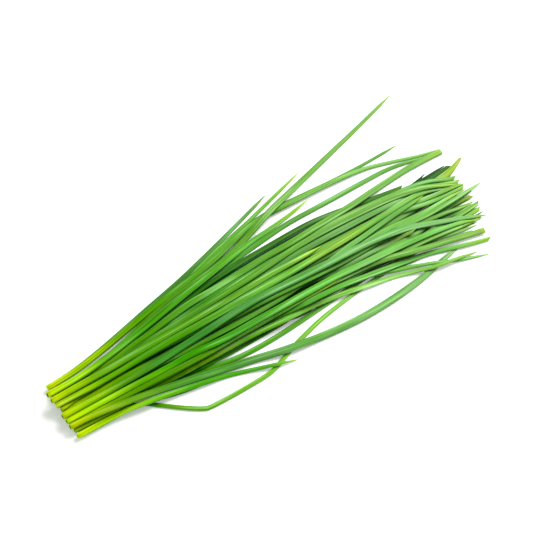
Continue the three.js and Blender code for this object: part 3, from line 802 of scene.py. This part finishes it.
@dataclass
class Leaf:
    """One tubular chive leaf, cut straight across at its root end.

    Attributes:
        name: the CAD node that the leaf stands for.
        skin: the leaf's material.
        slot: the record's material slot.
        ripeness: where the leaf is yellow.
        chance: the leaf's own random draws.
        pile: the whole bunch's courses.
        sides: corners of the finer cross-section.
        step_mm: spacing of the finer rings.
        wall_mm: thickness of the leaf's wall where it is cut.
        bore_mm: how deep the open end is shown.
        lightness: how light the leaf's tint is.
        squareness: 2 makes the section an ellipse, and more flattens its top and its underside.
        pointed: whether the leaf ends in a point.
        rings: the CAD leaf's rings, tip first.
        fine: the finer rings, root first.
    """

    name: str
    skin: bpy.types.Material
    slot: str
    ripeness: Ripeness
    chance: random.Random
    pile: Pile
    sides: int = 20
    step_mm: float = 3.0
    wall_mm: float = 0.5
    bore_mm: float = 11.0
    lightness: float = 1.0
    squareness: float = 2.7
    pointed: bool = False
    rings: list[Ring] = field(default_factory=list)
    fine: list[Ring] = field(default_factory=list)

    def follow_node(self) -> None:
        """Finds the rings of the CAD leaf's skin, and whether it ends in a point."""
        mesh = bmesh.new()
        mesh.from_mesh(frame["nodes"][self.name].data)
        bmesh.ops.remove_doubles(mesh, verts=mesh.verts, dist=MERGE_M)
        mesh.verts.ensure_lookup_table()
        layers = self.layers_from_tip(mesh)
        tip = layers[0][0].co.copy()
        # The last three layers are the bore's mouth, its far ring and the middle of its floor
        outer = layers[1:-3]
        centres = [sum((v.co for v in layer), Vector()) / len(layer) for layer in outer]
        for i, layer in enumerate(outer):
            course = (centres[max(0, i - 1)] - centres[min(len(outer) - 1, i + 1)]).xy.normalized()
            square = Vector((-course.y, course.x))
            offsets = [(v.co - centres[i]).xy for v in layer]
            width = max(abs(o.dot(square)) for o in offsets)
            depth = max(v.co.z - centres[i].z for v in layer)
            # Only the ring at the tip is slanted
            slant = 0.0
            if i == 0:
                leaning = sum(o.dot(course) * o.dot(square) for o in offsets)
                slant = leaning / sum(o.dot(square) ** 2 for o in offsets)
            self.rings.append(Ring(centres[i], width, depth, slant))
        self.pointed = (tip - centres[0]).length > POINT_MM * MM
        if self.pointed:
            self.rings.insert(0, Ring(tip, TIP_WIDTH_MM * MM, TIP_DEPTH_MM * MM, 0.0))
        mesh.free()

    def layers_from_tip(self, mesh: bmesh.types.BMesh) -> list[list[bmesh.types.BMVert]]:
        """Finds the tip, the one far vertex from which every layer but the ends is a full ring.

        Args:
            mesh: the CAD leaf.

        Returns:
            The vertices at each number of edges from the tip.
        """
        root_x = min(v.co.x for v in mesh.verts)
        ends = sorted(mesh.verts, key=lambda v: root_x - v.co.x)[:ENDS_TRIED]
        for end in ends:
            layers = self.layers_from(end)
            sizes = {len(layer) for layer in layers[1:-1]}
            if sizes == {CAD_SIDES} and len(layers[-1]) == 1 and len(layers) > LEAST_LAYERS:
                return layers
        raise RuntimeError(f"no tip found on {self.name}")

    @staticmethod
    def layers_from(start: bmesh.types.BMVert) -> list[list[bmesh.types.BMVert]]:
        """Walks a mesh from one vertex, edge by edge.

        Args:
            start: the vertex to start from.

        Returns:
            The vertices at each number of edges from the start.
        """
        seen = {start}
        layers = [[start]]
        while True:
            ahead = []
            for vertex in layers[-1]:
                for edge in vertex.link_edges:
                    other = edge.other_vert(vertex)
                    if other not in seen:
                        seen.add(other)
                        ahead.append(other)
            if not ahead:
                return layers
            layers.append(ahead)

    def refine(self) -> None:
        """Runs a smooth curve through the CAD rings and sets the finer rings on it."""
        knots = list(reversed(self.rings))
        last = len(knots) - 1
        spans = [(knots[i + 1].middle - knots[i].middle).length for i in range(last)]
        slopes = []
        for i in range(last + 1):
            before = max(0, i - 1)
            after = min(last, i + 1)
            gap = sum(spans[before:after])
            slopes.append([(b - a) / gap for a, b in zip(knots[before].middle, knots[after].middle)])
        along = 0.0
        for i, span in enumerate(spans):
            start, end = knots[i], knots[i + 1]
            steps = max(1, round(span / (self.step_mm * MM)))
            # The last stretch also gets its far end
            for j in range(steps + (i == last - 1)):
                t = j / steps
                middle = [
                    bend(start.middle[k], end.middle[k], slopes[i][k] * span, slopes[i + 1][k] * span, t)
                    for k in range(3)
                ]
                sizes = [a + (b - a) * t for a, b in zip(start.sizes(), end.sizes())]
                self.fine.append(Ring(Vector(middle), *sizes, along + span * t))
            along += span

    def rounded(self, value: float) -> float:
        """Pushes a sine or cosine outwards, so that the section's top and underside turn flat.

        Args:
            value: the sine or cosine.

        Returns:
            The pushed value, of the same sign.
        """
        return math.copysign(abs(value) ** (2 / self.squareness), value)

    def build(self) -> bpy.types.Object:
        """Grows the finer leaf and dresses it.

        Returns:
            The finished piece.
        """
        mesh = Growth(self).grow_leaf()
        data = bpy.data.meshes.new(f"fine_{self.name}")
        mesh.to_mesh(data)
        mesh.free()
        data.materials.append(self.skin)
        piece = bpy.data.objects.new(f"fine_{self.name}", data)
        bpy.context.scene.collection.objects.link(piece)
        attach(piece, "root")
        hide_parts(self.name)
        return piece


class Growth:
    """One finer leaf's mesh, which grows ring by ring from the bottom of its bore to its tip."""

    def __init__(self, leaf: Leaf, shading: Shading = Shading()) -> None:
        """Starts the mesh and makes the leaf's draws, always in the same order.

        Args:
            leaf: the leaf, with its finer rings.
            shading: how its light and hue vary.
        """
        self.leaf = leaf
        self.shading = shading
        self.mesh = bmesh.new()
        layers = self.mesh.verts.layers
        self.turn = layers.float.new("turn")
        self.along_mm = layers.float.new("along_mm")
        self.ripe = layers.float.new("ripe")
        self.tone_and_shade = layers.float.new("tone_and_shade")
        self.turned = layers.float.new("turned")
        self.course = layers.float_vector.new("course")
        self.loop: list[bmesh.types.BMVert] = []
        self.edges: list[bmesh.types.BMEdge] = []
        self.length = leaf.fine[-1].along
        # Painted shade: a place under other leaves is darker
        self.shade = [1 - shading.pile * leaf.pile.depth_at(ring.middle) for ring in leaf.fine]
        self.start_mm = max(0.0, (leaf.fine[0].middle.x - CAD_BOX[0][0]) / MM - UNEVEN_ENDS_MM)
        own_light = LIGHTNESS.get(leaf.name, 1.0)
        chance = leaf.chance
        self.leaf_lot = leaf.lightness * chance.uniform(*shading.lots) * own_light
        dark_turn = shading.dark_turn if own_light < shading.dark else 0.0
        self.leaf_turn = chance.uniform(*shading.turns) + dark_turn
        self.offset = chance.uniform(0, PATTERN_SHIFT_MM)
        self.pace = GREENING_PACE.get(leaf.name, chance.uniform(*USUAL_PACE))
        self.lean_mm = chance.uniform(-CUT_LEAN_MM, CUT_LEAN_MM)

    def grow_leaf(self) -> bmesh.types.BMesh:
        """Grows the whole leaf.

        Returns:
            The closed mesh.
        """
        leaf = self.leaf
        made = bmesh.ops.create_circle(self.mesh, cap_ends=False, segments=leaf.sides, radius=1.0)
        self.loop = made["verts"]
        for vertex in self.loop:
            vertex[self.turn] = math.atan2(vertex.co.y, vertex.co.x)

        # From the bottom of the bore out to the cut, over the rim and along the skin to the tip
        self.edges = list(self.mesh.edges)
        self.set_ring(0, leaf.wall_mm, leaf.bore_mm)
        self.cap()
        self.edges = [e for e in self.mesh.edges if e.is_boundary]
        for inward in (leaf.bore_mm * BORE_MIDDLE, *BORE_RINGS_MM):
            self.extrude()
            self.set_ring(0, leaf.wall_mm, inward)
        for share in RIM_SHARES:
            self.extrude()
            self.set_ring(0, leaf.wall_mm * share)
        for i in range(len(leaf.fine)):
            self.extrude()
            self.set_ring(i, 0.0, RIM_ROUNDING_MM if i == 0 else 0.0)
        if leaf.pointed:
            bmesh.ops.pointmerge(self.mesh, verts=self.loop, merge_co=leaf.fine[-1].middle)
        else:
            self.cap()
        bmesh.ops.recalc_face_normals(self.mesh, faces=self.mesh.faces)
        for face in self.mesh.faces:
            face.smooth = True
        return self.mesh

    def extrude(self) -> None:
        """Extrudes the newest ring into the next one."""
        out = bmesh.ops.extrude_edge_only(self.mesh, edges=self.edges)["geom"]
        self.loop = [g for g in out if isinstance(g, bmesh.types.BMVert)]
        fresh = set(self.loop)
        new_edges = [g for g in out if isinstance(g, bmesh.types.BMEdge)]
        self.edges = [e for e in new_edges if fresh.issuperset(e.verts)]

    def cap(self) -> None:
        """Closes the newest ring with a fan of triangles."""
        faces = bmesh.ops.edgenet_fill(self.mesh, edges=self.edges)["faces"]
        bmesh.ops.poke(self.mesh, faces=faces)

    def set_ring(self, at: int, shrink: float, inward: float = 0.0) -> None:
        """Sets the newest ring of vertices round the leaf's course.

        Args:
            at: the number of the finer ring that it follows.
            shrink: how far it lies inside the skin, in mm.
            inward: how far it is moved in from the cut, in mm.
        """
        fine = self.leaf.fine
        ring = fine[at]
        ahead = fine[min(len(fine) - 1, at + 1)].middle - fine[max(0, at - 1)].middle
        flat = Vector((ahead.x, ahead.y, 0)).normalized()
        side = Vector((-flat.y, flat.x, 0))
        middle = ring.middle + ahead.normalized() * inward * MM
        width = ring.width - shrink * MM
        depth = ring.depth - shrink * MM
        skew = self.lean_mm * MM * (1 - ease(0, CUT_LEAN_REACH_MM, ring.along / MM))
        for vertex in self.loop:
            across = self.leaf.rounded(math.cos(vertex[self.turn]))
            height = self.leaf.rounded(math.sin(vertex[self.turn]))
            point = middle + side * width * across
            point.z += depth * height
            point += flat * (width * across * ring.slant - skew * height)
            point.z = max(point.z, CLEAR_OF_TABLE_M + shrink * MM)
            vertex.co = point
            self.mark(vertex, at, across, height)
            if shrink:
                # The cut wall is lighter than the skin, and the inside of the cut end is painted shade
                cut_light = self.shading.bore if inward else self.shading.rim
                vertex[self.tone_and_shade] = self.leaf_lot * cut_light

    def mark(self, vertex: bmesh.types.BMVert, at: int, across: float, height: float) -> None:
        """Writes on a vertex what the skin reads.

        Args:
            vertex: the vertex.
            at: the number of its finer ring.
            across: its place from side to side, -1 to 1.
            height: its place from the underside to the top, -1 to 1.
        """
        shading = self.shading
        along = self.leaf.fine[at].along
        along_mm = along / MM
        place = (across * PATTERN_RADIUS_MM + self.offset, height * PATTERN_RADIUS_MM)
        vertex[self.course] = Vector((*place, along_mm + self.offset * LENGTHWISE_SHIFT))
        pace = self.pace + (1 - self.pace) * ease(*PACE_REACH_MM, along_mm)
        vertex[self.along_mm] = self.start_mm + along_mm * pace
        vertex[self.ripe] = self.leaf.ripeness.at(along_mm, (self.length - along) / MM)
        # Painted shade: the underside is darker than the top, and so is a place deep in the pile, and both
        # turn the hue towards blue
        upper = ease(*shading.underside, height)
        light = shading.underside_shade + (1 - shading.underside_shade) * upper
        vertex[self.tone_and_shade] = self.leaf_lot * self.shade[at] * light
        blanched = 1 - ease(*shading.blanched_mm, vertex[self.along_mm])
        shaded = max(1 - upper, shading.pile_turn * (1 - self.shade[at]))
        turn = shading.shade_turn + shading.root_turn * blanched
        vertex[self.turned] = self.leaf_turn + shaded * turn


@dataclass
class Bunch:
    """The whole bunch: one finer leaf for every CAD leaf.

    Attributes:
        skins: the skin of each tint.
        seed: what the draws of chance start from.
        tip_ripeness: how yellow a tip is, at least and at most, where RIPENESS doesn't say.
        tip_mm: how far back the yellow of such a tip reaches, at least and at most.
    """

    skins: tuple[LeafSkin, ...] = SKINS
    seed: int = SEED
    tip_ripeness: tuple[float, float] = (0.3, 0.8)
    tip_mm: tuple[float, float] = (12.0, 30.0)

    def build(self) -> list[bpy.types.Object]:
        """Builds every leaf in its own skin.

        Returns:
            The finished pieces.
        """
        materials = {skin.tint.value: skin.material() for skin in self.skins}
        lightness = {skin.tint.value: skin.value for skin in self.skins}
        slots = {part["node"]: part["material_slot"] for part in frame["record"]["subparts"]}
        leaves = []
        pile = Pile()
        for number, name in enumerate(sorted(frame["nodes"])):
            chance = random.Random(self.seed * SEEDS_A_BUNCH + number)
            usual = None
            if name not in RIPENESS:
                usual = Ripeness(chance.uniform(*self.tip_ripeness), chance.uniform(*self.tip_mm))
            leaf = Leaf(
                name=name,
                skin=materials[slots[name]],
                slot=slots[name],
                ripeness=RIPENESS.get(name, usual),
                chance=chance,
                pile=pile,
                lightness=lightness[slots[name]],
            )
            leaf.follow_node()
            leaf.refine()
            pile.add([ring.middle for ring in leaf.fine])
            leaves.append(leaf)
        pile.close()
        pieces = []
        for leaf in leaves:
            piece = leaf.build()
            LOG.info("%s: %d faces", piece.name, len(piece.data.polygons))
            pieces.append(piece)
        return pieces


@dataclass
class Studio:
    """The pale table, the soft light and the camera.

    Attributes:
        target_mm: where the camera looks, on the table.
        distance_mm: how far the camera stands from there.
        heading_deg: turn of the camera's right-hand side from +X.
        elevation_deg: how high above the table it looks from.
        lens_mm: its focal length.
        sensor_mm: its sensor's width.
        far_m: how far it sees.
        table_m: half the table's side.
        table_glow: how much the table shines of itself, which keeps it near white under the bunch's shadow.
        sky: the even light's strength.
        lamp_w: the lamp's power.
        lamp_m: the lamp's side.
        lamp_place_m: where the lamp hangs.
    """

    target_mm: tuple[float, float, float] = (2.84, -2.48, 0.0)
    distance_mm: float = 888.3
    heading_deg: float = -33.0
    elevation_deg: float = 55.0
    lens_mm: float = 100.0
    sensor_mm: float = 36.0
    far_m: float = 20.0
    table_m: float = 6.0
    table_glow: float = 0.27
    sky: float = 0.47
    lamp_w: float = 33.0
    lamp_m: float = 1.0
    lamp_place_m: tuple[float, float, float] = (1.0, 0.2, 1.3)

    def camera(self) -> bpy.types.Object:
        """Sets the camera at the photograph's angle, for a square picture.

        Returns:
            The camera.
        """
        turn = math.radians(self.heading_deg)
        rise = math.radians(self.elevation_deg)
        right = Vector((math.cos(turn), math.sin(turn), 0))
        away = Vector((-math.sin(turn), math.cos(turn), 0))
        sight = away * math.cos(rise) - Vector((0, 0, 1)) * math.sin(rise)
        up = right.cross(sight)
        lens = bpy.data.cameras.new("camera")
        lens.lens = self.lens_mm
        lens.sensor_width = self.sensor_mm
        lens.clip_end = self.far_m
        eye = bpy.data.objects.new("camera", lens)
        place = Vector(self.target_mm) * MM - sight * self.distance_mm * MM
        eye.matrix_world = Matrix.Translation(place) @ Matrix((right, up, -sight)).transposed().to_4x4()
        bpy.context.scene.collection.objects.link(eye)
        bpy.context.scene.camera = eye
        return eye

    def table(self) -> bpy.types.Object:
        """Lays the plain white table top.

        Returns:
            The table.
        """
        mesh = bmesh.new()
        bmesh.ops.create_grid(mesh, x_segments=1, y_segments=1, size=self.table_m)
        data = bpy.data.meshes.new("table")
        mesh.to_mesh(data)
        mesh.free()
        # Matt white paper, pressed smooth: no gloss and no grain, so that only the soft shadow shows on it
        paper = bpy.data.materials.new("matt_white_paper")
        paper.use_nodes = True
        surface = paper.node_tree.nodes["Principled BSDF"]
        surface.inputs["Base Color"].default_value = linear("#fbfbfb")
        surface.inputs["Roughness"].default_value = 0.9
        surface.inputs["Specular IOR Level"].default_value = 0.1
        surface.inputs["Emission Color"].default_value = linear("#ffffff")
        surface.inputs["Emission Strength"].default_value = self.table_glow
        data.materials.append(paper)
        top = bpy.data.objects.new("table", data)
        bpy.context.scene.collection.objects.link(top)
        return top

    def lights(self) -> None:
        """Hangs one large soft lamp beyond the tips and fills the rest from a white sky."""
        sky = bpy.data.worlds.new("soft_sky")
        sky.use_nodes = True
        ground = sky.node_tree.nodes["Background"]
        ground.inputs["Color"].default_value = (1.0, 1.0, 1.0, 1.0)
        ground.inputs["Strength"].default_value = self.sky
        bpy.context.scene.world = sky
        lamp = bpy.data.lights.new("soft_lamp", "AREA")
        lamp.energy = self.lamp_w
        lamp.size = self.lamp_m
        hung = bpy.data.objects.new("soft_lamp", lamp)
        place = Vector(self.lamp_place_m)
        facing = (-place).to_track_quat("-Z", "Y").to_matrix().to_4x4()
        hung.matrix_world = Matrix.Translation(place) @ facing
        bpy.context.scene.collection.objects.link(hung)

    def build(self) -> None:
        """Sets up the studio."""
        self.camera()
        self.table()
        self.lights()
        bpy.context.scene.view_settings.view_transform = "Standard"


def main() -> None:
    """Sets the studio, then dresses the bunch."""
    logging.basicConfig(level=logging.INFO)
    Studio().build()
    pieces = Bunch().build()
    LOG.info("%d leaves", len(pieces))


if __name__ == "__main__":
    main()
